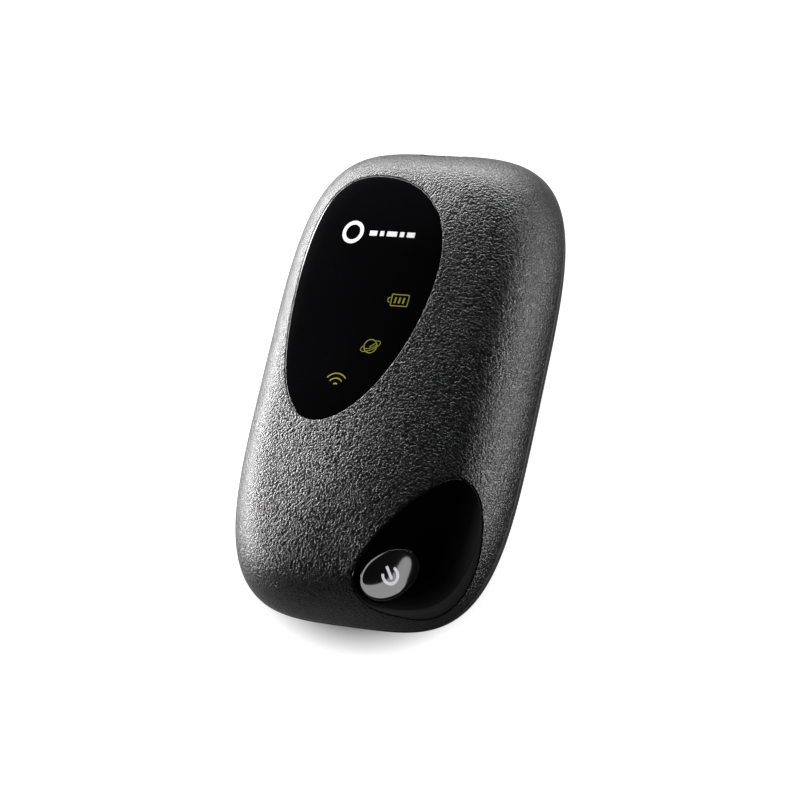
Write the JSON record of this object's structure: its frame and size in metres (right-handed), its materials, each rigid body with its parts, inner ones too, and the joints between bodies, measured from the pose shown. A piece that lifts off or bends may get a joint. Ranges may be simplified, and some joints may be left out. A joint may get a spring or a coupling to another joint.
{
  "type": "mobile hotspot",
  "caption": "Pocket battery-powered mobile hotspot: domed textured cover with a gloss lamp window, a gloss corner panel with a dished power button, and a lift-off back cover.",
  "frame": {"origin": "middle of the flat back, on the surface that the device lies on", "axes": "+X across the width, +Y along the length towards the lamp window and the charging port, +Z out of the front face"},
  "size_m": [0.0566, 0.094, 0.0198],
  "materials": {
    "textured_cover": "charcoal moulded plastic with a fine leather grain",
    "smooth_back": "fine satin charcoal plastic",
    "gloss_black": "piano black acrylic",
    "button_gloss": "piano black, dished",
    "adhesive": "double-sided foam tape",
    "inner_plastic": "black glass-filled plastic",
    "board_green": "solder-masked board",
    "sheet_steel": "plain tinned sheet",
    "gold_contact": "gold flash",
    "chip_black": "moulded chip",
    "thermal_grey": "soft gap filler",
    "lamp_yellow": "small lamp",
    "clear_pipe": "clear light pipe",
    "aerial_plastic": "natural plastic carrier",
    "copper_foil": "copper foil",
    "battery_shell": "dark wrapped cell",
    "label_white": "plain printed film",
    "foam_black": "open foam",
    "card_white": "card plastic",
    "grey_plastic": "grey moulded plastic",
    "screw_steel": "zinc plated screw",
    "ceramic": "ceramic chip parts"
  },
  "bodies": {
    "device": {"front_cover": "textured_cover", "display_window": "gloss_black", "window_adhesive": "adhesive", "button_panel": "gloss_black", "panel_adhesive": "adhesive", "power_switch": "sheet_steel", "mid_frame": "inner_plastic", "info_label": "label_white", "main_board": "board_green", "usb_shell": "sheet_steel", "usb_tongue": "inner_plastic", "usb_contacts": "gold_contact", "baseband_can": "sheet_steel", "radio_can": "sheet_steel", "power_can": "sheet_steel", "processor_chip": "chip_black", "memory_chip": "chip_black", "radio_chip": "chip_black", "power_chip": "chip_black", "thermal_pad": "thermal_grey", "battery_lamp": "lamp_yellow", "internet_lamp": "lamp_yellow", "wifi_lamp": "lamp_yellow", "light_baffle": "inner_plastic", "battery_light_pipe": "clear_pipe", "internet_light_pipe": "clear_pipe", "wifi_light_pipe": "clear_pipe", "main_aerial_carrier": "aerial_plastic", "main_aerial_foil": "copper_foil", "second_aerial_carrier": "aerial_plastic", "second_aerial_foil": "copper_foil", "wifi_aerial_carrier": "aerial_plastic", "wifi_aerial_foil": "copper_foil", "aerial_springs": "gold_contact", "battery_connector": "inner_plastic", "battery_springs": "gold_contact", "sim_socket_base": "inner_plastic", "sim_socket_cage": "sheet_steel", "sim_springs": "gold_contact", "reset_switch": "sheet_steel", "crystal_can": "sheet_steel", "board_components": "ceramic", "frame_screws": "screw_steel", "board_screws": "screw_steel"},
    "power_key": {"power_button": "button_gloss", "switch_plunger": "grey_plastic"},
    "reset_key": {"reset_button": "grey_plastic"},
    "battery": {"battery_cell": "battery_shell", "battery_end_cap": "inner_plastic", "battery_pads": "gold_contact", "battery_label": "label_white"},
    "cover": {"back_cover": "smooth_back", "battery_foam": "foam_black"},
    "sim": {"sim_card": "card_white", "sim_pads": "gold_contact"}
  },
  "joints": [
    {"name": "power_press", "type": "slide", "parent": "device", "child": "power_key", "axis": [0, 0, -1], "range_m": [0, 0.0004], "stiffness_N_per_m": 1500},
    {"name": "reset_press", "type": "slide", "parent": "device", "child": "reset_key", "axis": [0, 0, 1], "range_m": [0, 0.00025], "stiffness_N_per_m": 400},
    {"name": "battery_lift", "type": "slide", "parent": "device", "child": "battery", "axis": [0, 0, -1], "range_m": [0, 0.012]},
    {"name": "cover_lift", "type": "slide", "parent": "device", "child": "cover", "axis": [0, 0, -1], "range_m": [0, 0.024]},
    {"name": "sim_slide", "type": "slide", "parent": "device", "child": "sim", "axis": [-1, 0, 0], "range_m": [0, 0.011]}
  ],
  "couplings": [
    {"joint": "cover_lift", "follows": "battery_lift", "ratio": 2}
  ]
}
